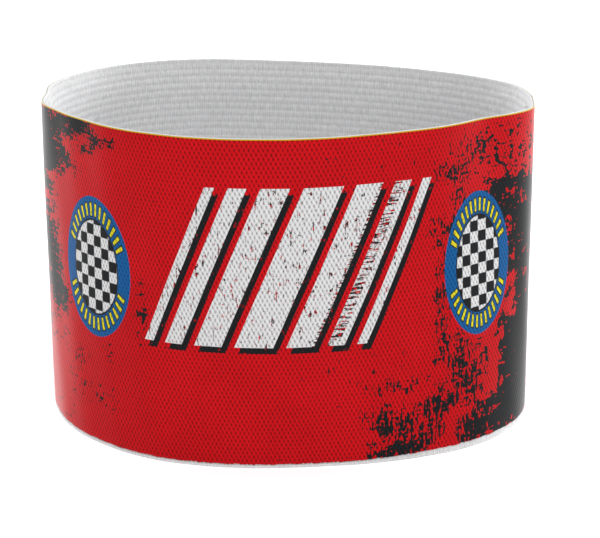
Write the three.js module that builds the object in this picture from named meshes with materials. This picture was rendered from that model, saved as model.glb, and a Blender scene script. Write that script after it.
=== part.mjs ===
import * as THREE from "three";

// A captain's armband: one strip of ribbed white elastic webbing, bent round into a soft oval loop and
// sewn end to end at its right-hand bend, with a printed face on the outside. It stands on its lower
// edge. Millimetres, +Z up, the front of the print faces -Y, and the origin lies on the surface that
// it stands on, under the middle of the loop.

// Driving sizes
const bandHeight = 70; // width of the webbing, from foot to rim
const loopLength = 300; // once round the outer side at half height
const webThickness = 1.2; // the elastic, from its outer side to the crests of its ribs
const printThickness = 0.3; // the printed face
const plyClearance = 0.3; // between the printed face and the elastic

// Inner ribs, which the rubber cords in the webbing raise
const ribPitch = 1.6;
const ribDepth = 0.2;
const plainEdge = 2; // rib-free selvedge at the rim and at the foot
const edgeChamfer = 0.3; // worn corner of each selvedge

// The join, where the two cut ends are sewn together edge to edge
const joinBearing = -2; // degrees
const joinDepth = 0.2; // how far the rounded ends fall in at the join, on every side
const joinHalfWidth = 0.4; // half the width of that groove, and how far the print stays off the join

// Edges of the print
const rimMargin = 0.3; // bare webbing above the print
const footMargin = 0.8; // bare selvedge below the print
const extraMargin = 0.9; // more of it shows at the front right
const extraMarginBearing = 312; // degrees: middle of that wider stretch
const extraMarginSpread = 34; // degrees to each side

// How finely the loop is cut into flat facets
const facetLength = 5.5;
const arcSamples = 1440;

// The loop seen from above: how far its outer side reaches at each bearing, in halves of its width.
// Bearings are in degrees, counted from +X towards the back, +Y.
const outline = [
  { bearing: 0, rim: 1.006, foot: 1.01 },
  { bearing: 30, rim: 0.873, foot: 0.891 },
  { bearing: 60, rim: 0.748, foot: 0.779 },
  { bearing: 90, rim: 0.749, foot: 0.781 },
  { bearing: 120, rim: 0.904, foot: 0.897 },
  { bearing: 150, rim: 1.018, foot: 0.995 },
  { bearing: 180, rim: 0.999, foot: 1.003 },
  { bearing: 210, rim: 0.914, foot: 0.931 },
  { bearing: 240, rim: 0.847, foot: 0.822 },
  { bearing: 270, rim: 0.791, foot: 0.753 },
  { bearing: 300, rim: 0.791, foot: 0.8 },
  { bearing: 330, rim: 0.904, foot: 0.959 },
];

const fullTurn = 2 * Math.PI;
const lerp = THREE.MathUtils.lerp;
const radians = THREE.MathUtils.degToRad;

// The weight of a table row at an angle away from it: 1 on the row, 0 on all the others, smooth between.
function rowWeight(angle) {
  const half = angle / 2;
  if (Math.abs(Math.sin(half)) < 1e-9) return 1;
  return Math.sin(outline.length * half) / (outline.length * Math.tan(half));
}

// The outline's point at a bearing and a height share, in halves of the loop's width.
function outlineShare(bearing, heightShare) {
  let reach = 0;
  for (const row of outline) {
    reach += lerp(row.foot, row.rim, heightShare) * rowWeight(bearing - radians(row.bearing));
  }
  return new THREE.Vector2(reach * Math.cos(bearing), reach * Math.sin(bearing));
}

// Arc shares are lengths along that outline at half height, from the join towards the back.
const joinAngle = radians(joinBearing);
const arcShares = [0];
for (let i = 1; i <= arcSamples; i++) {
  const from = outlineShare(joinAngle + ((i - 1) * fullTurn) / arcSamples, 0.5);
  const to = outlineShare(joinAngle + (i * fullTurn) / arcSamples, 0.5);
  arcShares.push(arcShares[i - 1] + from.distanceTo(to));
}
const halfWidth = loopLength / arcShares[arcSamples];

// The bearing at a run, which is a length along the loop from the join, from 0 to loopLength.
function bearingAt(run) {
  const arc = run / halfWidth;
  let i = 1;
  while (i < arcSamples && arcShares[i] < arc) i++;
  const share = (arc - arcShares[i - 1]) / (arcShares[i] - arcShares[i - 1]);
  return joinAngle + ((i - 1 + share) * fullTurn) / arcSamples;
}

// A point of the wall: at a run and a height, and so deep inside the loop's outer side.
function wallPoint(run, height, depth) {
  const bearing = bearingAt(run);
  const heightShare = height / bandHeight;
  const step = fullTurn / arcSamples;
  const ahead = outlineShare(bearing + step, heightShare);
  const behind = outlineShare(bearing - step, heightShare);
  const along = ahead.sub(behind).normalize();
  const place = outlineShare(bearing, heightShare).multiplyScalar(halfWidth);
  return [place.x - depth * along.y, place.y + depth * along.x, height];
}

// Runs from just past the join to just before it, in equal steps of about facetLength.
const facetCount = Math.round((loopLength - 2 * joinHalfWidth) / facetLength);
const facetRuns = Array.from({ length: facetCount + 1 }, (_, i) =>
  lerp(joinHalfWidth, loopLength - joinHalfWidth, i / facetCount),
);

// Joins equal sections into one closed body. Each section is a ring of points; a closed loop of
// sections meets itself again, and an open strip gets a flat end at its first and last section.
// Each facet between two sections is folded along the diagonal that falls with the run, on both
// sides of a wall, so that walls beside each other stay parallel.
function loftSections(sections, closedLoop) {
  const ringSize = sections[0].length;
  const index = [];
  const pairCount = closedLoop ? sections.length : sections.length - 1;
  for (let s = 0; s < pairCount; s++) {
    const here = s * ringSize;
    const next = ((s + 1) % sections.length) * ringSize;
    for (let p = 0; p < ringSize; p++) {
      const q = (p + 1) % ringSize;
      if (sections[s][p][2] > sections[s][q][2]) {
        index.push(here + p, next + q, next + p, here + p, here + q, next + q);
      } else {
        index.push(here + p, here + q, next + p, here + q, next + q, next + p);
      }
    }
  }
  if (!closedLoop) {
    const last = (sections.length - 1) * ringSize;
    for (let p = 1; p < ringSize - 1; p++) {
      index.push(0, p + 1, p);
      index.push(last, last + p, last + p + 1);
    }
  }
  const geometry = new THREE.BufferGeometry();
  geometry.setAttribute("position", new THREE.Float32BufferAttribute(sections.flat(2), 3));
  geometry.setIndex(index);
  geometry.computeVertexNormals();
  return geometry;
}

// Section of the webbing at a run, from the foot up its ribbed inner side and down its outer side,
// drawn in by an inset on every side.
function webSection(run, inset) {
  const outerDepth = printThickness + plyClearance + inset;
  const innerDepth = printThickness + plyClearance + webThickness - inset;
  const chamfer = Math.min(edgeChamfer, (innerDepth - outerDepth) / 3);
  const foot = inset;
  const rim = bandHeight - inset;
  const ribCount = Math.floor((bandHeight - 2 * plainEdge) / ribPitch);
  const firstGroove = (bandHeight - ribCount * ribPitch) / 2;
  const section = [
    wallPoint(run, foot, innerDepth - chamfer),
    wallPoint(run, foot + chamfer, innerDepth),
  ];
  for (let rib = 0; rib <= ribCount; rib++) {
    const grooveHeight = firstGroove + rib * ribPitch;
    section.push(wallPoint(run, grooveHeight, innerDepth - ribDepth));
    if (rib < ribCount) section.push(wallPoint(run, grooveHeight + ribPitch / 2, innerDepth));
  }
  section.push(
    wallPoint(run, rim - chamfer, innerDepth),
    wallPoint(run, rim, innerDepth - chamfer),
    wallPoint(run, rim, outerDepth + chamfer),
    wallPoint(run, rim - chamfer, outerDepth),
    wallPoint(run, foot + chamfer, outerDepth),
    wallPoint(run, foot, outerDepth + chamfer),
  );
  return section;
}

function elasticBand() {
  const joinSection = webSection(0, joinDepth);
  const plainSections = facetRuns.map((run) => webSection(run, 0));
  return loftSections([joinSection, ...plainSections], true);
}

// Bare selvedge below the print, which is wider round extraMarginBearing.
function bareFoot(run) {
  const bearing = THREE.MathUtils.radToDeg(bearingAt(run));
  const away = THREE.MathUtils.euclideanModulo(bearing - extraMarginBearing + 180, 360) - 180;
  const nearness = 1 - THREE.MathUtils.smoothstep(Math.abs(away), 0, extraMarginSpread);
  return footMargin + extraMargin * nearness;
}

function printSection(run) {
  const top = bandHeight - rimMargin;
  const bottom = bareFoot(run);
  return [
    wallPoint(run, bottom, printThickness),
    wallPoint(run, top, printThickness),
    wallPoint(run, top, 0),
    wallPoint(run, bottom, 0),
  ];
}

// The printed face goes once round and leaves the join open.
function printedFace() {
  return loftSections(facetRuns.map(printSection), false);
}

function pieceMesh(name, geometry, color, roughness) {
  const material = new THREE.MeshStandardMaterial({ color, roughness, metalness: 0 });
  const mesh = new THREE.Mesh(geometry, material);
  mesh.name = name;
  return mesh;
}

const armband = new THREE.Group();
armband.add(pieceMesh("elastic_band", elasticBand(), 0xe3e3e4, 0.85));
armband.add(pieceMesh("printed_face", printedFace(), 0xc4161d, 0.7));

// Puts the middle of the whole loop's box over the origin.
const middle = new THREE.Box3().setFromObject(armband).getCenter(new THREE.Vector3());
armband.children.forEach((mesh) => mesh.geometry.translate(-middle.x, -middle.y, 0));

export default armband;
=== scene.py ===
import bpy
import numpy as np
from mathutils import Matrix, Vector


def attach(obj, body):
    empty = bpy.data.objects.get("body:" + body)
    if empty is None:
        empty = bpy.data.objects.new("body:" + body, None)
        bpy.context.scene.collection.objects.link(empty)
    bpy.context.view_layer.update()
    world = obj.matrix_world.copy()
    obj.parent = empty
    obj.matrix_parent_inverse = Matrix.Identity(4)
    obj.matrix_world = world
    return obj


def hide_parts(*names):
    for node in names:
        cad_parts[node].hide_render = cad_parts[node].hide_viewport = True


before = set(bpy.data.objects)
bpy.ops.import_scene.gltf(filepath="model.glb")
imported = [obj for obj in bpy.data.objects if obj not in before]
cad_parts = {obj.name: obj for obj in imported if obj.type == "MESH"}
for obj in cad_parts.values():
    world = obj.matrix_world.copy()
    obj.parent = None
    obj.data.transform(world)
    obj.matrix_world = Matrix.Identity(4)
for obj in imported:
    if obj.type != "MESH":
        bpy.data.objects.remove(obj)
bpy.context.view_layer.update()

scene = bpy.context.scene
print("frame loaded:", ", ".join(sorted(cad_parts)))

# The loop, in millimetres: the same sizes as the solids have. The two outlines are how far the outer
# side reaches every 30 degrees from +X towards the back, in halves of the loop's width.
loop = {
    "height": 70.0,
    "length": 300.0,
    "joinBearing": -2.0,
    "rim": [1.006, 0.873, 0.748, 0.749, 0.904, 1.018, 0.999, 0.914, 0.847, 0.791, 0.791, 0.904],
    "foot": [1.010, 0.891, 0.779, 0.781, 0.897, 0.995, 1.003, 0.931, 0.822, 0.753, 0.800, 0.959],
    "waves": [(0.10, 7, 2.1, 0.3), (0.07, 13, -3.3, 1.0), (0.035, 29, 9.0, 2.0)],  # depth, count, lean, start
    "dents": [  # degrees, degrees wide, mm inwards
        (-31, 8, 1.3), (-15, 7, -1.3), (0, 12, 0.3), (12, 7, -0.5),
        (179, 7, 0.6), (-172, 7, -0.85), (-147, 8, 0.5),
    ],
}


# How far an outline reaches at a bearing: the sum over its rows of the row's value times
# sin(6 a) / (12 tan(a / 2)), where a is the angle from the row. That is 1 on the row and 0 on the others.
def reachAt(rows, bearing):
    angle = bearing[..., None] - np.radians(30.0 * np.arange(12))
    half = angle / 2
    near = np.abs(np.sin(half)) < 1e-9
    weight = np.where(near, 1.0, np.sin(12 * half) / (12 * np.tan(np.where(near, 1.0, half))))
    return weight @ np.array(rows)


# The outline at a bearing and a share of the height: its two reaches mixed by the share, along the bearing.
def outlineAt(bearing, share):
    reach = reachAt(loop["foot"], bearing) * (1 - share) + reachAt(loop["rim"], bearing) * share
    return np.stack([reach * np.cos(bearing), reach * np.sin(bearing)], axis=-1)


# Lengths along the outline at half height, from the join towards the back, against the bearing.
tableBearings = np.radians(loop["joinBearing"]) + np.linspace(0, 2 * np.pi, 1441)
tableSteps = np.linalg.norm(np.diff(outlineAt(tableBearings, 0.5), axis=0), axis=1)
tableRuns = np.concatenate([[0], np.cumsum(tableSteps)])
halfWidth = loop["length"] / tableRuns[-1]
tableRuns *= halfWidth


# A point of the wall from its run, height and depth: the outline's point at that run's bearing, moved
# inwards by the depth, square to the outline, and by the waves, which are sines of the run and height,
# and the dents, which fall off as exp(-(degrees away / width)^2) and fade out towards the foot.
def wallPoint(run, height, depth, waves=1.0):
    run, height, depth = np.broadcast_arrays(run, height, depth)
    bearing = np.interp(np.mod(run, loop["length"]), tableRuns, tableBearings)
    share = height / loop["height"]
    place = outlineAt(bearing, share) * halfWidth
    along = outlineAt(bearing + 0.004, share) - outlineAt(bearing - 0.004, share)
    along /= np.linalg.norm(along, axis=-1, keepdims=True)
    for size, count, lean, start in loop["waves"]:
        depth = depth + waves * size * np.sin(2 * np.pi * count * run / loop["length"] + lean * share + start)
    for middleBearing, width, size in loop["dents"]:
        away = np.mod(np.degrees(bearing) - middleBearing + 180, 360) - 180
        depth = depth + waves * size * share * np.exp(-((away / width) ** 2))
    x = place[..., 0] - depth * along[..., 1] - middle[0]
    y = place[..., 1] + depth * along[..., 0] - middle[1]
    return np.stack([x, y, height], axis=-1)


# The direction out of the wall at a run and height, from the difference of two depths.
def outwardAt(run, height):
    gap = wallPoint(run, height, -1.0) - wallPoint(run, height, 1.0)
    return gap / np.linalg.norm(gap, axis=-1, keepdims=True)


# Puts the middle of the whole loop's box over the origin, as in the solids.
middle = np.zeros(2)
levels = np.array([0.0, 0.5, 1.0]) * loop["height"]
rough = wallPoint(np.linspace(0, loop["length"], 1441)[:, None], levels, 0.0, waves=0.0)
middle = (rough.min(axis=(0, 1)) + rough.max(axis=(0, 1)))[:2] / 2


# Puts arrays into a mesh object: vertices in millimetres, four vertex numbers for each face, a UV pair
# for each of its corners, and named values for each vertex. Faces are turned if the volume is negative.
def makePiece(name, vertices, faces, cornerUv=None, fields=None):
    a, b, c, d = (vertices[faces[:, k]] for k in range(4))
    volume = np.sum(a * np.cross(b, c)) + np.sum(a * np.cross(c, d))
    if volume < 0:
        faces = faces[:, ::-1]
        cornerUv = None if cornerUv is None else cornerUv[:, ::-1]
    mesh = bpy.data.meshes.new(name)
    mesh.from_pydata((vertices * 0.001).tolist(), [], faces.tolist())
    mesh.polygons.foreach_set("use_smooth", np.ones(len(faces), dtype=bool))
    if cornerUv is not None:
        mesh.uv_layers.new(name="unrolled").data.foreach_set("uv", cornerUv.ravel())
    for field, values in (fields or {}).items():
        mesh.attributes.new(field, "FLOAT", "POINT").data.foreach_set("value", values.ravel())
    mesh.update()
    piece = bpy.data.objects.new(name, mesh)
    scene.collection.objects.link(piece)
    print(f"{name}: {len(faces) * 2} triangles")
    return piece


# Faces between the neighbours of a grid of stations by section points, and their UV corners: the
# station's share of the run, and the section point's share of the way round the section.
def gridFaces(stationCount, sectionCount, closedRun, stationShare, sectionShare):
    i = np.arange(stationCount if closedRun else stationCount - 1)[:, None]
    j = np.arange(sectionCount)[None, :]
    nextI, nextJ = (i + 1) % stationCount, (j + 1) % sectionCount
    corners = [(i, j, i, j), (nextI, j, i + 1, j), (nextI, nextJ, i + 1, j + 1), (i, nextJ, i, j + 1)]
    faces = np.stack([p * sectionCount + q for p, q, _, _ in corners], axis=-1).reshape(-1, 4)
    u = np.stack([stationShare[r + 0 * s] for _, _, r, s in corners], axis=-1)
    v = np.stack([sectionShare[s + 0 * r] for _, _, r, s in corners], axis=-1)
    return faces, np.stack([u, v], axis=-1).reshape(-1, 4, 2)


# Yarns, one for each path: at every point of a path stands a ring of an even number of corners at the
# radius from it, between the outward direction and the one square to it and the path; both ends closed.
def makeYarns(name, paths, outward, radius, sides):
    count, points = paths.shape[:2]
    along = np.gradient(paths, axis=1)
    along /= np.linalg.norm(along, axis=-1, keepdims=True)
    across = np.cross(along, outward)
    across /= np.linalg.norm(across, axis=-1, keepdims=True)
    up = np.cross(across, along)
    turn = 2 * np.pi * np.arange(sides) / sides
    ring = up[:, :, None] * np.cos(turn)[:, None] + across[:, :, None] * np.sin(turn)[:, None]
    vertices = paths[:, :, None] + np.broadcast_to(radius, (count, points))[:, :, None, None] * ring
    i, j = np.arange(points - 1)[:, None], np.arange(sides)[None, :]
    k = (j + 1) % sides
    tube = np.stack([i * sides + j, i * sides + k, (i + 1) * sides + k, (i + 1) * sides + j], axis=-1)
    fan = np.array([[0, n + 1, n + 2, n + 3] for n in range(0, sides - 2, 2)])
    one = np.concatenate([tube.reshape(-1, 4), fan[:, ::-1], fan + (points - 1) * sides])
    faces = (one[None] + (np.arange(count) * points * sides)[:, None, None]).reshape(-1, 4)
    return makePiece(name, vertices.reshape(-1, 3), faces)


# Node helpers: a node with its settings and inputs, arithmetic, a smooth step, a place on the unrolled
# band that may be stretched, a noise, a mix of two colours, a colour dimmed by a value, and a bump.
def addNode(tree, kind, inputs, **settings):
    node = tree.nodes.new(kind)
    for key, value in settings.items():
        setattr(node, key, value)
    for key, value in inputs.items():
        if isinstance(value, bpy.types.NodeSocket):
            tree.links.new(value, node.inputs[key])
        else:
            node.inputs[key].default_value = value
    return node


def calc(tree, operation, *values, clamp=False):
    inputs = dict(enumerate(values))
    return addNode(tree, "ShaderNodeMath", inputs, operation=operation, use_clamp=clamp).outputs[0]


def rise(tree, value, start, end, low=0.0, high=1.0):
    inputs = {"Value": value, "From Min": start, "From Max": end, "To Min": low, "To Max": high}
    return addNode(tree, "ShaderNodeMapRange", inputs, interpolation_type="SMOOTHSTEP").outputs[0]


def place(tree, x, y, scaleX=1.0, scaleY=1.0):
    inputs = {0: calc(tree, "MULTIPLY", x, scaleX), 1: calc(tree, "MULTIPLY", y, scaleY), 2: 0.0}
    return addNode(tree, "ShaderNodeCombineXYZ", inputs).outputs[0]


def noise(tree, where, scale, detail=2.0, roughness=0.5):
    inputs = {"Vector": where, "Scale": scale, "Detail": detail, "Roughness": roughness}
    return addNode(tree, "ShaderNodeTexNoise", inputs, noise_dimensions="3D").outputs[0]


def blend(tree, share, first, second, kind="MIX"):
    inputs = {0: share, 6: first, 7: second}
    return addNode(tree, "ShaderNodeMix", inputs, data_type="RGBA", blend_type=kind).outputs[2]


def dim(tree, colour, shade):
    grey = addNode(tree, "ShaderNodeCombineColor", {0: shade, 1: shade, 2: shade}).outputs[0]
    return blend(tree, 1.0, colour, grey, "MULTIPLY")


def addBump(tree, shader, relief, distance):
    bump = addNode(tree, "ShaderNodeBump", {"Strength": 1.0, "Distance": distance, "Height": relief})
    tree.links.new(bump.outputs[0], shader.inputs["Normal"])


# Starts a material and returns its tree, its shader, and the run and height in millimetres.
def startMaterial(name, roughness, specular, sheen, sheenRoughness):
    material = bpy.data.materials.new(name)
    material.use_nodes = True
    tree = material.node_tree
    shader = tree.nodes["Principled BSDF"]
    shader.inputs["Roughness"].default_value = roughness
    shader.inputs["Specular IOR Level"].default_value = specular
    shader.inputs["Sheen Weight"].default_value = sheen
    shader.inputs["Sheen Roughness"].default_value = sheenRoughness
    uv = addNode(tree, "ShaderNodeUVMap", {}, uv_map="unrolled").outputs[0]
    unrolled = addNode(tree, "ShaderNodeSeparateXYZ", {0: uv})
    here = addNode(tree, "ShaderNodeSeparateXYZ", {0: tree.nodes.new("ShaderNodeTexCoord").outputs["Object"]})
    run = calc(tree, "MULTIPLY", unrolled.outputs[0], loop["length"])
    height = calc(tree, "MULTIPLY", here.outputs[2], 1000.0)
    return material, tree, shader, run, height


face = {
    "thickness": 0.3,
    "rimMargin": 0.03,
    "footMargin": 0.8,
    "extraMargin": 0.6,
    "extraMarginBearing": 325.0,
    "extraMarginSpread": 42.0,
    "ragged": [(0.04, 61, 0.4), (0.03, 97, 1.9), (0.03, 131, 3.0)],  # depth, count, start
    "joinGap": 0.4,  # how far the print stays off the join on each side
    "stations": 430,
    "rows": 76,
    "red": (0.42, 0.002, 0.005, 1),
    "darkRed": (0.38, 0.0015, 0.004, 1),
    "black": (0.007, 0.008, 0.009, 1),
    "white": (0.50, 0.50, 0.505, 1),
    "gold": (0.46, 0.31, 0.012, 1),
    "dimplePitch": 0.915,  # along the run
    "dimpleRow": 0.88,  # from one row up to the next, which is half a pitch further on
    "dimpleRelief": 0.00001,  # metres
    "goldStart": (69.71, 69.77),  # heights over which the gold line sets in
    "goldEnd": (69.93, 69.97),
}


# Where the print's lower edge lies: the foot margin, plus a swell of 1 - t^2 (3 - 2 t), where t is the
# share of the way out from its middle, and sines of the run.
def printFoot(run):
    bearing = np.degrees(np.interp(np.mod(run, loop["length"]), tableRuns, tableBearings))
    away = np.abs(np.mod(bearing - face["extraMarginBearing"] + 180, 360) - 180)
    t = np.clip(away / face["extraMarginSpread"], 0, 1)
    edge = face["footMargin"] + face["extraMargin"] * (1 - t * t * (3 - 2 * t))
    for size, count, start in face["ragged"]:
        edge = edge + size * np.sin(2 * np.pi * count * run / loop["length"] + start)
    return edge


webbing = {
    "outerDepth": 0.34,
    "innerDepth": 1.8,
    "ribPitch": 1.6,
    "ribDepth": 0.13,
    "plainEdge": 2.2,
    "thinFrom": 60.0,  # height from which the inner side draws out towards the rim
    "thinBy": 0.3,  # how far below the rim it has done so
    "outerSide": (1.6, 3.2),  # where the plain outer side starts below the rim and ends above the foot
    "rimThickness": 0.42,  # the selvedge thins out to this at the rim
    "joinDepth": 0.22,
    "joinHalfWidth": 0.5,
    "stations": 292,
    "colour": (0.66, 0.66, 0.665, 1),
    # painted shade colour for the grooves between the ribs
    "paintedGrooveShadeColour": (0.54, 0.54, 0.55, 1),
    "soilColour": (0.57, 0.57, 0.58, 1),
    # painted highlight colour for pale patches
    "paintedHighlightColour": (0.80, 0.80, 0.81, 1),
    "yarnPitch": 0.45,
    "yarnRelief": 0.00007,  # metres
}


# Section of the webbing, as heights and depths up the ribbed inner side, over the thin rim and down the
# outer side. Each rib is a cosine wave of ribDepth. Near the rim the inner side draws out towards the
# outer one by the square of the height above thinFrom. The last points belong to the foot selvedge,
# which stands out to the print's own face below the print: their heights are shares of the print's edge.
def webSection():
    w = webbing
    top = loop["height"]
    ribCount = round((top - 2 * w["plainEdge"]) / w["ribPitch"])
    first = (top - ribCount * w["ribPitch"]) / 2
    phase = (np.arange(ribCount)[:, None] + np.array([0.0, 0.09, 0.28, 0.5, 0.72, 0.91])).ravel()
    ribHeight = np.append(first + w["ribPitch"] * phase, top - first)
    groove = 0.5 + 0.5 * np.cos(2 * np.pi * np.append(phase, ribCount))
    turn = np.linspace(0, np.pi, 9)
    inner, outer, thin = w["innerDepth"], w["outerDepth"], w["rimThickness"]
    slopeHeight = top - np.array([1.7, 1.2, 0.8, 0.5])
    thinSpan = top - w["thinBy"] - w["thinFrom"]
    thinning = np.clip((np.append(ribHeight, slopeHeight) - w["thinFrom"]) / thinSpan, 0, 1) ** 2
    drawnDepth = inner - (inner - outer - thin) * thinning
    drawnDepth[: len(groove)] -= w["ribDepth"] * groove
    rimHeight = top - thin / 2 * (1 - np.sin(turn))
    rimDepth = outer + thin / 2 * (1 + np.cos(turn))
    outerHeight = np.linspace(top - w["outerSide"][0], w["outerSide"][1], 8)
    footHeight = np.array([0.0, 0.08, 0.30, 0.7, 1.3])
    footDepth = inner - np.array([0.75, 0.35, 0.1, 0, 0])
    height = np.concatenate([footHeight, ribHeight, slopeHeight, rimHeight, outerHeight])
    depth = np.concatenate([footDepth, drawnDepth, rimDepth, np.full(8, outer)])
    selvedgeShare = np.array([0.96, 0.84, 0.72, 0.45, 0.22, 0.07, 0.0])
    selvedgeDepth = np.array([outer, 0.14, 0.03, 0.0, 0.0, 0.05, 0.16])
    return height, depth, selvedgeShare, selvedgeDepth


# The webbing: that section at each station of the run, drawn in towards its own middle near the join by
# joinDepth times cos^2 of a quarter turn for each joinHalfWidth of distance from the join.
def makeWebbing():
    w = webbing
    height, depth, selvedgeShare, selvedgeDepth = webSection()
    near = np.array([0.0, 0.12, 0.25, 0.4])
    far = np.linspace(0.6, loop["length"] - 0.6, w["stations"])
    runs = np.concatenate([near, far, loop["length"] - near[:0:-1]])
    selvedgeHeight = printFoot(runs)[:, None] * selvedgeShare
    height = np.concatenate([np.tile(height, (len(runs), 1)), selvedgeHeight], axis=1)
    depth = np.append(depth, selvedgeDepth)
    distance = np.minimum(runs, loop["length"] - runs)[:, None]
    pull = w["joinDepth"] * np.cos(np.pi / 2 * np.clip(distance / w["joinHalfWidth"], 0, 1)) ** 2
    middleDepth = (w["innerDepth"] + w["outerDepth"]) / 2
    halfThickness = (w["innerDepth"] - w["outerDepth"]) / 2
    sectionDepth = middleDepth + (depth - middleDepth) * (1 - pull / halfThickness)
    halfHeight = loop["height"] / 2
    sectionHeight = halfHeight + (height - halfHeight) * (1 - pull / halfHeight)
    points = wallPoint(runs[:, None], sectionHeight, sectionDepth)
    path = np.cumsum(np.hypot(np.diff(height[0], append=height[0, 0]), np.diff(depth, append=depth[0])))
    sectionShare = np.append(0, path) / path[-1]
    runShare = np.append(runs, loop["length"]) / loop["length"]
    faces, cornerUv = gridFaces(len(runs), len(depth), True, runShare, sectionShare)
    return makePiece("webbing", points.reshape(-1, 3), faces, cornerUv)


# White elastic: painted shade darkens the grooves between the ribs and the gaps between the fine yarns
# across them, it is darker where it is soiled, and a painted highlight brightens it in patches.
def elasticMaterial():
    w = webbing
    material, tree, shader, run, height = startMaterial("whiteElastic", 0.8, 0.15, 0.15, 0.3)
    flat = place(tree, run, height)
    drift = noise(tree, place(tree, run, height, 0.25, 1.0), 0.6, 2)
    wander = calc(tree, "MULTIPLY_ADD", drift, 0.35, height)
    ribPhase = calc(tree, "DIVIDE", calc(tree, "SUBTRACT", wander, w["plainEdge"] + 0.17), w["ribPitch"])
    ribWave = calc(tree, "ABSOLUTE", calc(tree, "SINE", calc(tree, "MULTIPLY", ribPhase, np.pi)))
    groove = rise(tree, ribWave, 0.0, 0.95, 1.0, 0.0)
    sway = noise(tree, place(tree, run, height, 0.8, 0.35), 1.0, 2)
    yarnPhase = calc(tree, "MULTIPLY_ADD", run, 1 / w["yarnPitch"], calc(tree, "MULTIPLY", sway, 1.6))
    yarnWave = calc(tree, "COSINE", calc(tree, "MULTIPLY", yarnPhase, 2 * np.pi))
    broken = noise(tree, place(tree, run, height, 1.0, 1.6), 1.1, 3, 0.6)
    soil = noise(tree, flat, 0.05, 3, 0.6)
    # Painted shade in the grooves between the ribs, broken up by noise.
    paintedGrooveShade = calc(tree, "MULTIPLY", groove, rise(tree, broken, 0.3, 0.7, 0.25, 0.9))
    base = blend(tree, paintedGrooveShade, w["colour"], w["paintedGrooveShadeColour"])
    strand = noise(tree, place(tree, run, height, 2.2, 0.45), 1.0, 2, 0.6)
    # Painted shade between the fine yarns, times a random tone of the strands.
    lineShade = calc(tree, "MULTIPLY_ADD", yarnWave, 0.045, rise(tree, strand, 0.3, 0.7, 0.86, 1.04))
    base = dim(tree, base, lineShade)
    base = blend(tree, rise(tree, soil, 0.35, 0.75, 0.0, 0.25), base, w["soilColour"])
    # Painted highlight in patches where the broken noise is high.
    base = blend(tree, rise(tree, broken, 0.5, 0.75, 0.0, 0.5), base, w["paintedHighlightColour"])
    tree.links.new(base, shader.inputs["Base Color"])
    relief = calc(tree, "ADD", calc(tree, "MULTIPLY", yarnWave, 0.25), calc(tree, "MULTIPLY", broken, 1.3))
    addBump(tree, shader, relief, w["yarnRelief"])
    return material


elastic = elasticMaterial()
webbingPiece = makeWebbing()
webbingPiece.data.materials.append(elastic)


# Worn black ink, as soft spots: run, height, half its length, half its height, and strength, which is
# negative where the red is kept clear.
inkSpots = [
    (154, 63.5, 19, 5, 1.1), (152, 57, 15, 6, 0.85), (140, 66, 20, 7, 0.4), (134, 50, 14, 16, 0.26),
    (172, 68, 12, 2.2, 0.75), (180, 69, 4.6, 1.3, 0.7), (188, 66.5, 4.6, 1.4, 0.62),
    (182, 64, 3.4, 1.1, 0.6), (174, 61.3, 4, 1.5, 0.55), (168, 58, 6, 2, 0.5), (161, 53, 6, 1.6, 0.5),
    (158, 45, 11, 5.5, 0.6), (160, 40, 9, 5, 0.5), (165, 34, 8, 6, 0.66), (170, 29, 5, 3, 0.6),
    (150, 32, 12, 12, 0.36), (178, 59, 3, 1.6, 0.3), (162, 23, 10, 5, 0.3), (177, 15, 5, 7, 0.26),
    (186, 11, 5.5, 3.5, 0.24), (170, 4, 5, 3, 0.26), (189, 22, 2.5, 2.5, 0.26), (197, 32, 1.8, 7, 0.36),
    (272, 64.8, 2.0, 1.6, 0.55), (270, 63.5, 8, 4.0, 0.22), (285, 62, 12, 5.2, 0.30),
    (265, 60, 3.6, 1.9, 0.42), (262, 60.5, 3, 1.6, 0.26), (265.5, 52, 2.2, 6.5, 0.45),
    (261.5, 49, 3.8, 3.2, 0.42), (261, 39, 2, 6, 0.42), (260.5, 28, 2.2, 7, 0.42),
    (285, 49, 13, 6.8, 1.1), (284, 55, 12, 2.2, 0.45), (289, 32, 11, 12, 1.1), (287, 15, 11, 10, 1.1),
    (283, 4, 12, 6, 1.0), (283, 53, 4.2, 1, -0.45), (280, 46, 1.7, 3.1, -0.5), (275, 17, 1.4, 5.6, -0.9),
    (281, 31, 2.2, 6.5, -0.55), (264, 21, 3.2, 6, 0.42), (269, 16, 4.6, 7.5, 0.5),
    (268, 4, 3.8, 3.6, 0.8), (262, 12.5, 3.6, 4, 0.42), (255, 7, 8, 5.8, 0.56), (248, 7, 1.5, 1.2, 0.7),
    (246, 10.5, 3, 2.8, 0.32), (250, 17, 7, 1.4, 0.42), (251, 2.4, 6.5, 2.4, 0.5),
    (263.2, 5.5, 1.4, 4, -0.35), (302, 28, 9, 28, 0.95), (1, 14, 14, 13, 0.42), (0, 48, 10, 9, 0.36),
]

# Four noise patterns wear the ink. In the right half of the front they change strength, and above
# fineHeight the specks there get finer.
inkWear = {
    "sides": (168.0, 270.0),  # runs past which the patterns are drawn wider along the run
    "sideShare": 0.55,
    "rightHalf": (215.0, 240.0),
    "fineHeight": (54.0, 59.0),
    "blotch": (1.7, -1.0),  # strength, and its change where the specks are fine
    "speck": (1.5, 1.0),
    "streak": (1.0, 1.4),  # strength, and its change in the right half
    "cross": (1.5, -0.7),
    "setsIn": (0.51, 0.55),
}

# The block of leaning slashes in the middle of the front, with a shadow to the right and below.
slashes = {
    "start": 197.8,  # run of the first one's foot
    "foot": 26.8,
    "top": 60.1,
    "lean": 14.0,  # how far the top stands to the right of the foot
    "widths": [2.0, 3.6, 5.6, 7.8, 5.6, 3.6, 2.0],
    "gap": 2.7,
    "shadow": (0.8, 1.3),
    "scratched": (35.0, 40.5),  # the stretch of the row that is scratched across
    "flaked": (0.56, 0.575),
}

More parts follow.
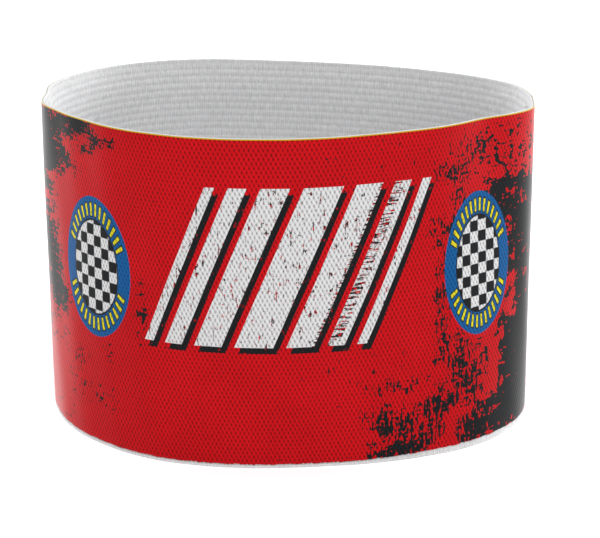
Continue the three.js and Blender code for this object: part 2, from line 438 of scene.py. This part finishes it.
# The two round badges, as ovals on the flat band: run, height, half length and half height of each.
badges = {
    "left": (184.3, 39.5, 10.5, 15.05),
    "right": (270.8, 40.05, 9.2, 15.3),
    "divide": 228.0,
    "ringStart": 0.66,  # inner edge of the blue ring, as a share of the badge
    "ringEnd": 0.96,
    "ticks": 36,
    "tickSizes": [(0.31, 0.108), (0.185, 0.088)],  # half width and length, of a tick's rim and of the tick
    "bareSides": (0.34, 0.36),  # no ticks where the sine of the angle is smaller
    "blue": (0.003, 0.072, 0.22, 1),
    "yellow": (0.52, 0.47, 0.015, 1),
    "checkSize": 2.3,
}


# The printed face: at each station a closed section that goes up the outer side and down the back of
# the print, with its outer corners eased, and flat ends beside the join. The ink at a vertex is the sum
# over the spots of strength * exp(-(run share)^4 - (height share)^4).
def makePrintedFace():
    f = face
    runs = np.linspace(f["joinGap"], loop["length"] - f["joinGap"], f["stations"])
    share = np.concatenate([[0, 0.0015, 0.004], np.linspace(0.02, 0.98, f["rows"]), [0.996, 0.9985, 1]])
    ease = np.interp(share, [0, 0.0015, 0.004, 0.996, 0.9985, 1], [0.12, 0.03, 0, 0, 0.03, 0.12])
    foot = printFoot(runs)[:, None]
    top = loop["height"] - f["rimMargin"]
    outer = foot + (top - foot) * share
    height = np.concatenate([outer, outer[:, ::-1]], axis=1)
    depth = np.concatenate([ease, np.full(len(share), f["thickness"])])[None, :]
    points = wallPoint(runs[:, None], height, depth)
    across = len(share)
    sectionShare = np.append(np.concatenate([share, 2 - share[::-1]]), 2) / 2
    faces, cornerUv = gridFaces(len(runs), 2 * across, False, runs / loop["length"], sectionShare)
    k = np.arange(across - 1)
    cap = np.stack([k, k + 1, 2 * across - 2 - k, 2 * across - 1 - k], axis=-1)
    lastCap = cap[:, ::-1] + (len(runs) - 1) * 2 * across
    capUv = np.zeros((len(cap), 4, 2))
    capUv[:, :, 1] = sectionShare[cap]
    endUv = capUv[:, ::-1] + np.array([1.0, 0.0])
    spots = np.zeros_like(height)
    for x, y, halfLength, halfHeight, strength in inkSpots:
        runShare, heightShare = (runs[:, None] - x) / halfLength, (height - y) / halfHeight
        spots += strength * np.exp(-(runShare**4) - heightShare**4)
    fields = {"ink": spots, "aboveEdge": height - foot}
    return makePiece(
        "printedFace", points.reshape(-1, 3), np.concatenate([faces, cap, lastCap]),
        np.concatenate([cornerUv, capUv, endUv]), fields,
    )


# 1 inside a slash and 0 outside, and the place along the row of slashes once their lean is taken off:
# the run less lean * (height - foot) / (top - foot), which a ramp of steps then looks up.
def slashMask(tree, run, height):
    b = slashes
    tall = b["top"] - b["foot"]
    up = calc(tree, "SUBTRACT", height, b["foot"])
    x = calc(tree, "SUBTRACT", calc(tree, "MULTIPLY_ADD", up, -b["lean"] / tall, run), b["start"])
    starts = np.cumsum([0.0] + [width + b["gap"] for width in b["widths"]])
    whole = starts[-1] + b["gap"]
    along = calc(tree, "DIVIDE", calc(tree, "ADD", x, b["gap"]), whole, clamp=True)
    steps = addNode(tree, "ShaderNodeValToRGB", {0: along})
    ramp = steps.color_ramp
    ramp.interpolation = "CONSTANT"
    ramp.elements.remove(ramp.elements[1])
    for start, width in zip(starts, b["widths"]):
        for edge, shade in ((start, 1.0), (start + width, 0.0)):
            step = ramp.elements.new((edge + b["gap"]) / whole)
            step.color = (shade, shade, shade, 1)
    end = calc(tree, "ABSOLUTE", calc(tree, "SUBTRACT", up, tall / 2))
    return calc(tree, "MULTIPLY", steps.outputs[0], calc(tree, "LESS_THAN", end, tall / 2)), x


# Lays the badges over a colour: rings by the share of the way out from the badge's middle, ticks by the
# angle, checks by the place. Returns the colour, and 1 inside a badge.
def addBadges(tree, run, height, colour):
    g = badges
    isRight = calc(tree, "GREATER_THAN", run, g["divide"])
    centreRun, centreHeight, halfLong, halfTall = (
        calc(tree, "MULTIPLY_ADD", isRight, g["right"][k] - g["left"][k], g["left"][k]) for k in range(4)
    )
    x, y = calc(tree, "SUBTRACT", run, centreRun), calc(tree, "SUBTRACT", height, centreHeight)
    shareX, shareY = calc(tree, "DIVIDE", x, halfLong), calc(tree, "DIVIDE", y, halfTall)
    squareX, squareY = calc(tree, "MULTIPLY", shareX, shareX), calc(tree, "MULTIPLY", shareY, shareY)
    out = calc(tree, "SQRT", calc(tree, "ADD", squareX, squareY))
    angle = calc(tree, "ARCTAN2", shareY, shareX)
    inside = rise(tree, out, 0.997, 1.003, 1.0, 0.0)
    colour = blend(tree, inside, colour, g["blue"])
    tickShare = calc(tree, "FRACT", calc(tree, "MULTIPLY_ADD", angle, g["ticks"] / (2 * np.pi), 100.0))
    tickSide = calc(tree, "ABSOLUTE", calc(tree, "SUBTRACT", tickShare, 0.5))
    arc = rise(tree, calc(tree, "ABSOLUTE", calc(tree, "SINE", angle)), *g["bareSides"])
    ringMiddle = (g["ringStart"] + g["ringEnd"]) / 2 + 0.005
    tickMiddle = calc(tree, "ABSOLUTE", calc(tree, "SUBTRACT", out, ringMiddle))
    for (width, length), paint in zip(g["tickSizes"], (face["black"], g["yellow"])):
        tick = calc(tree, "MULTIPLY", rise(tree, tickSide, width - 0.05, width + 0.05, 1.0, 0.0), arc)
        tick = calc(tree, "MULTIPLY", tick, rise(tree, tickMiddle, length - 0.01, length + 0.01, 1.0, 0.0))
        colour = blend(tree, tick, colour, paint)
    ring = g["ringStart"]
    colour = blend(tree, rise(tree, out, ring + 0.02, ring + 0.04, 1.0, 0.0), colour, face["black"])
    waveX = calc(tree, "SINE", calc(tree, "MULTIPLY", x, np.pi / g["checkSize"]))
    waveY = calc(tree, "SINE", calc(tree, "MULTIPLY", y, np.pi / g["checkSize"]))
    check = rise(tree, calc(tree, "MULTIPLY", waveX, waveY), -0.08, 0.08)
    disc = blend(tree, check, face["white"], face["black"])
    return blend(tree, rise(tree, out, ring - 0.01, ring + 0.01, 1.0, 0.0), colour, disc), inside


# The print: red, worn black ink, badges, flaked slashes and their printed shadow, white threads showing at
# the lower edge, and a gold line along the top edge. All but the last gets painted shade in the dimples of
# the weave and a painted highlight on the ridges between them; the dimples' darkness is a sum of cosines
# along two slants of the run and height, with some noise.
def printMaterial():
    f, k = face, inkWear
    material, tree, shader, run, height = startMaterial("printedElastic", 0.7, 0.08, 0.6, 0.27)
    ink = addNode(tree, "ShaderNodeAttribute", {}, attribute_name="ink").outputs["Fac"]
    aboveEdge = addNode(tree, "ShaderNodeAttribute", {}, attribute_name="aboveEdge").outputs["Fac"]
    flat = place(tree, run, height)
    pastLeft = calc(tree, "MAXIMUM", calc(tree, "SUBTRACT", k["sides"][0], run), 0.0)
    pastRight = calc(tree, "MAXIMUM", calc(tree, "SUBTRACT", run, k["sides"][1]), 0.0)
    past = calc(tree, "SUBTRACT", pastLeft, pastRight)
    wide = calc(tree, "MULTIPLY_ADD", past, k["sideShare"], run)
    towardsRight = rise(tree, run, *k["rightHalf"])
    fine = calc(tree, "MULTIPLY", towardsRight, rise(tree, height, *k["fineHeight"]))
    patterns = [
        ("blotch", noise(tree, place(tree, wide, height), 0.3, 4, 0.6), fine),
        ("speck", noise(tree, place(tree, wide, height, 1.3), 1.3, 1, 0.5), fine),
        ("streak", noise(tree, place(tree, wide, height, 1.8, 0.36), 1.0, 1, 0.5), towardsRight),
        ("cross", noise(tree, place(tree, wide, height, 0.5, 1.8), 1.0, 1, 0.5), towardsRight),
    ]
    speck, streak = patterns[1][1], patterns[2][1]

    tone = noise(tree, flat, 0.09, 3, 0.55)
    colour = blend(tree, rise(tree, tone, 0.3, 0.7), f["red"], f["darkRed"])

    wear = 0.0
    for kind, pattern, where in patterns:
        strength = calc(tree, "MULTIPLY_ADD", where, k[kind][1], k[kind][0])
        wear = calc(tree, "MULTIPLY_ADD", calc(tree, "SUBTRACT", pattern, 0.5), strength, wear)
    ink = calc(tree, "MULTIPLY_ADD", wear, rise(tree, ink, 0.0, 0.2, 0.72, 1.0), ink)
    colour = blend(tree, rise(tree, ink, *k["setsIn"]), colour, f["black"])

    colour, onBadge = addBadges(tree, run, height, colour)

    shadowRun = calc(tree, "SUBTRACT", run, slashes["shadow"][0])
    shadowHeight = calc(tree, "ADD", height, slashes["shadow"][1])
    shadowMask, _ = slashMask(tree, shadowRun, shadowHeight)
    slashWhite, alongRow = slashMask(tree, run, height)
    chip = noise(tree, place(tree, run, height, 1.0, 0.8), 0.75, 6, 0.72)
    scratch = noise(tree, place(tree, run, height, 2.6, 0.22), 1.0, 3, 0.6)
    crossScratch = noise(tree, place(tree, run, height, 0.3, 2.0), 1.0, 3, 0.7)
    pastFirst = calc(tree, "GREATER_THAN", alongRow, slashes["scratched"][0])
    beforeLast = calc(tree, "LESS_THAN", alongRow, slashes["scratched"][1])
    onScratched = calc(tree, "MULTIPLY", pastFirst, beforeLast)
    worn = calc(tree, "ADD", calc(tree, "MULTIPLY", chip, 0.62), calc(tree, "MULTIPLY", scratch, 0.38))
    worn = rise(tree, worn, *slashes["flaked"])
    wornLine = rise(tree, scratch, 0.66, 0.69)
    wornAcross = calc(tree, "MULTIPLY", rise(tree, crossScratch, 0.50, 0.54), onScratched)
    lost = calc(tree, "MAXIMUM", calc(tree, "MAXIMUM", worn, wornLine), wornAcross)
    kept = calc(tree, "SUBTRACT", 1.0, lost)
    shadow = calc(tree, "MULTIPLY", shadowMask, rise(tree, chip, 0.60, 0.63, 1.0, 0.25))
    colour = blend(tree, shadow, colour, f["black"])
    underWhite = blend(tree, rise(tree, speck, 0.40, 0.50), f["darkRed"], f["black"])
    colour = blend(tree, slashWhite, colour, blend(tree, kept, underWhite, f["white"]))

    fray = calc(tree, "MULTIPLY_ADD", streak, 0.6, -0.26)
    bare = rise(tree, calc(tree, "SUBTRACT", aboveEdge, fray), -0.06, 0.06, 1.0, 0.0)
    colour = blend(tree, bare, colour, f["white"])

    sway = calc(tree, "MULTIPLY", noise(tree, flat, 0.4, 2), 0.5)
    across = calc(tree, "MULTIPLY_ADD", run, 1 / f["dimplePitch"], sway)
    upward = calc(tree, "MULTIPLY", height, 0.5 / f["dimpleRow"])
    slant = calc(tree, "COSINE", calc(tree, "MULTIPLY", calc(tree, "ADD", across, upward), 2 * np.pi))
    counter = calc(tree, "COSINE", calc(tree, "MULTIPLY", calc(tree, "SUBTRACT", across, upward), 2 * np.pi))
    grain = noise(tree, flat, 2.6, 2, 0.6)
    dimple = calc(tree, "MULTIPLY_ADD", counter, 0.6, slant)
    dimple = calc(tree, "MULTIPLY_ADD", calc(tree, "SUBTRACT", grain, 0.5), 1.8, dimple)
    # Painted shade in the dimple cores and a painted highlight on the ridges between them, weaker on the
    # badges and white slashes; the cores also shape the bump relief below.
    core = rise(tree, dimple, 0.45, 1.45)
    depth = calc(tree, "MULTIPLY_ADD", calc(tree, "MAXIMUM", onBadge, slashWhite), -0.14, 0.69)
    ridgeHighlight = rise(tree, dimple, -1.5, 0.2, 1.26, 1.04)
    colour = dim(tree, colour, calc(tree, "SUBTRACT", ridgeHighlight, calc(tree, "MULTIPLY", core, depth)))
    colour = blend(tree, rise(tree, height, *f["goldStart"]), colour, f["gold"])
    colour = blend(tree, rise(tree, height, *f["goldEnd"]), colour, f["white"])
    tree.links.new(colour, shader.inputs["Base Color"])
    relief = calc(tree, "MULTIPLY_ADD", dimple, -0.25, calc(tree, "MULTIPLY", core, -0.6))
    addBump(tree, shader, relief, f["dimpleRelief"])
    return material


printed = printMaterial()
facePiece = makePrintedFace()
facePiece.data.materials.append(printed)


thread = {
    "halfWidth": 2.2,
    "legRise": 0.9,
    "radius": 0.15,
    "foot": 1.6,
    "top": 68.4,
    "samples": 12,  # points for each leg
    "dip": 0.42,
    "outsideDepth": -0.08,
    "insideDepth": 1.80,
}


# One zigzag row of stitches over the join, on one side of the wall: the run swings evenly between both
# half widths while the height climbs by legRise a leg, and the thread dips into the cloth at each turn,
# by the eighth power of the swing.
def makeJoinThread(name, depth, side):
    t = thread
    legs = int((t["top"] - t["foot"]) / t["legRise"])
    step = np.linspace(0, legs, legs * t["samples"] + 1)
    swing = 2 / np.pi * np.arcsin(np.sin(np.pi * (step - 0.5)) * 0.995)
    run = t["halfWidth"] * swing
    height = t["foot"] + t["legRise"] * step
    sink = t["dip"] * np.abs(swing) ** 8 - 0.03
    path = wallPoint(run, height, depth + side * sink)
    return makeYarns(name, path[None], outwardAt(run, height)[None], t["radius"], 6)


threadOutside = makeJoinThread("joinThreadOutside", thread["outsideDepth"], 1.0)
threadInside = makeJoinThread("joinThreadInside", thread["insideDepth"], -1.0)


selvedge = {
    "rim": {"pitch": 0.6, "radius": 0.11, "reach": 0.3, "lean": 0.2, "outer": 0.34, "thickness": 0.42},
    "foot": {"pitch": 0.5, "radius": 0.16, "reach": 0.3, "lean": 0.2, "outer": -0.03, "thickness": 1.86},
}


# Yarn turns along one edge: each goes up one side of the edge, round it on a half circle and down the
# other side, leaning along the run as it goes.
def makeEdgeTurns(name, isRim):
    e = selvedge["rim" if isRim else "foot"]
    turn = np.linspace(-0.12, 1.12, 9)[None, :] * np.pi
    runs = np.arange(0.8, loop["length"] - 0.5, e["pitch"])[:, None]
    middleDepth = e["outer"] + e["thickness"] / 2
    depth = middleDepth - (e["thickness"] / 2 - e["radius"] + 0.05) * np.cos(turn)
    inset = e["radius"] + e["reach"] * (1 - np.sin(turn))
    height = loop["height"] - inset if isRim else inset + 0 * depth
    run = runs + e["lean"] * (turn / np.pi - 0.5)
    paths = wallPoint(run, height, depth)
    halfHeight = loop["height"] / 2
    core = wallPoint(run, halfHeight + (height - halfHeight) * 0.97, middleDepth + 0 * depth)
    outward = paths - core
    outward /= np.linalg.norm(outward, axis=-1, keepdims=True)
    return makeYarns(name, paths, outward, e["radius"], 6)


rimTurns = makeEdgeTurns("rimTurns", True)
footTurns = makeEdgeTurns("footTurns", False)


fibres = {
    "seed": 11,
    "count": 1400,
    "radius": 0.022,
    "length": (0.25, 0.9),
    "lean": 0.8,
    "lift": (-0.15, 0.7),
    "out": (0.15, 0.8),
    "footShare": 0.7,  # how many of them stand at the foot, the others at the rim
    "rootDepth": 0.30,
    "footRoot": (0.35, 0.5),  # lowest root, and how far the others spread above it
    "rimRoot": 69.7,
}


# Loose fibres along the foot and rim: each leaves the edge at a seeded place, and its run, depth and
# height change by t and t^2 times its own lean, lift and reach, where t is the share of its length.
def makeLooseFibres():
    f = fibres
    dice = np.random.default_rng(f["seed"])
    count = f["count"]
    root = dice.uniform(0, loop["length"], count)[:, None]
    length = dice.uniform(*f["length"], count)[:, None]
    lean = dice.normal(0, f["lean"], count)[:, None]
    lift = dice.uniform(*f["lift"], count)[:, None]
    out = dice.uniform(*f["out"], count)[:, None]
    atFoot = (dice.random(count) < f["footShare"])[:, None]
    t = np.linspace(0, 1, 5)[None, :]
    run = root + length * lean * t
    depth = f["rootDepth"] - length * out * t + 0.2 * length * t * t
    footRoot = f["footRoot"][0] + f["footRoot"][1] * dice.random(count)[:, None]
    footHeight = footRoot + length * lift * t - 0.35 * length * t * t
    rimHeight = f["rimRoot"] + 0.6 * length * t * t
    height = np.where(atFoot, np.maximum(footHeight, 0.05), rimHeight)
    paths = wallPoint(run, height, depth)
    radius = f["radius"] * (1 - 0.6 * t)
    outward = outwardAt(run, height) + np.array([0.01, 0.02, 0.3])
    return makeYarns("looseFibres", paths, outward, radius, 4)


looseFibres = makeLooseFibres()


yarnLook = {
    "colour": (0.66, 0.66, 0.67, 1),
    "paleColour": (0.84, 0.84, 0.85, 1),
    "soilColour": (0.62, 0.61, 0.60, 1),
    "relief": 0.00004,  # metres
}


# White yarn: fine noise mixes a darker and a paler white, and a coarser one soils it in patches.
def yarnMaterial():
    y = yarnLook
    material = bpy.data.materials.new("whiteYarn")
    material.use_nodes = True
    tree = material.node_tree
    shader = tree.nodes["Principled BSDF"]
    shader.inputs["Roughness"].default_value = 0.7
    shader.inputs["Specular IOR Level"].default_value = 0.3
    shader.inputs["Sheen Weight"].default_value = 0.3
    where = tree.nodes.new("ShaderNodeTexCoord").outputs["Object"]
    strand = noise(tree, where, 2600, 2, 0.6)
    patch = noise(tree, where, 300, 2, 0.5)
    base = blend(tree, rise(tree, strand, 0.35, 0.65), y["colour"], y["paleColour"])
    base = blend(tree, rise(tree, patch, 0.4, 0.7, 0.0, 0.3), base, y["soilColour"])
    tree.links.new(base, shader.inputs["Base Color"])
    addBump(tree, shader, strand, y["relief"])
    return material


yarn = yarnMaterial()
trimPieces = [threadOutside, threadInside, rimTurns, footTurns, looseFibres]
for piece in trimPieces:
    piece.data.materials.append(yarn)
    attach(piece, "root")
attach(webbingPiece, "root")
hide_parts("elastic_band")
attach(facePiece, "root")
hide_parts("printed_face")
print("pieces joined to the frame")


stage = {
    "floorSize": 4.0,
    "floorColour": (0.93, 0.93, 0.93, 1),
    "paleFloorColour": (0.95, 0.95, 0.95, 1),
    "floorGlow": 0.28,
    "worldStrength": 0.72,
    "lamps": [  # name, place, size, watts
        ("overheadLamp", (0.0, -0.1, 1.2), 1.2, 6.0),
        ("frontLamp", (0.8, -1.0, 0.9), 0.9, 4.0),
        ("leftLamp", (-0.9, 0.9, 0.3), 0.6, 14.5),
        ("rightLamp", (1.0, 0.7, 0.3), 0.6, 15.0),
    ],
}


# A flat square floor with a faint mottling.
def makeFloor():
    half = stage["floorSize"] / 2
    mesh = bpy.data.meshes.new("floor")
    corners = [(-half, -half, 0), (half, -half, 0), (half, half, 0), (-half, half, 0)]
    mesh.from_pydata(corners, [], [(0, 1, 2, 3)])
    floor = bpy.data.objects.new("floor", mesh)
    scene.collection.objects.link(floor)
    material = bpy.data.materials.new("paleFloor")
    material.use_nodes = True
    tree = material.node_tree
    shader = tree.nodes["Principled BSDF"]
    shader.inputs["Roughness"].default_value = 0.9
    shader.inputs["Specular IOR Level"].default_value = 0.1
    shader.inputs["Emission Color"].default_value = (1, 1, 1, 1)
    shader.inputs["Emission Strength"].default_value = stage["floorGlow"]
    mottle = noise(tree, tree.nodes.new("ShaderNodeTexCoord").outputs["Object"], 6, 2)
    colour = blend(tree, mottle, stage["floorColour"], stage["paleFloorColour"])
    tree.links.new(colour, shader.inputs["Base Color"])
    mesh.materials.append(material)


# A square lamp at a place, turned towards the band.
def addLamp(name, location, size, watts):
    data = bpy.data.lights.new(name, "AREA")
    data.shape = "SQUARE"
    data.size = size
    data.energy = watts
    lamp = bpy.data.objects.new(name, data)
    lamp.location = location
    lamp.rotation_euler = (Vector((0, 0, 0.03)) - Vector(location)).to_track_quat("-Z", "Y").to_euler()
    scene.collection.objects.link(lamp)


makeFloor()
for lamp in stage["lamps"]:
    addLamp(*lamp)
world = bpy.data.worlds.new("softStudio")
world.use_nodes = True
world.node_tree.nodes["Background"].inputs[0].default_value = (1, 1, 1, 1)
world.node_tree.nodes["Background"].inputs[1].default_value = stage["worldStrength"]
scene.world = world
scene.view_settings.view_transform = "Standard"
print("floor and lamps placed")


view = {
    "place": (0.0026700, -0.3408869, 0.1409415),
    "aim": (0.0026700, -0.0001800, 0.0302391),
    "lens": 95.92,
    "sensor": 36.0,
    "clipStart": 0.01,
}
cameraData = bpy.data.cameras.new("camera")
cameraData.lens = view["lens"]
cameraData.sensor_width = view["sensor"]
cameraData.sensor_fit = "HORIZONTAL"
cameraData.clip_start = view["clipStart"]
camera = bpy.data.objects.new("camera", cameraData)
camera.location = view["place"]
camera.rotation_euler = (Vector(view["aim"]) - Vector(view["place"])).to_track_quat("-Z", "Y").to_euler()
scene.collection.objects.link(camera)
scene.camera = camera
print("camera placed")
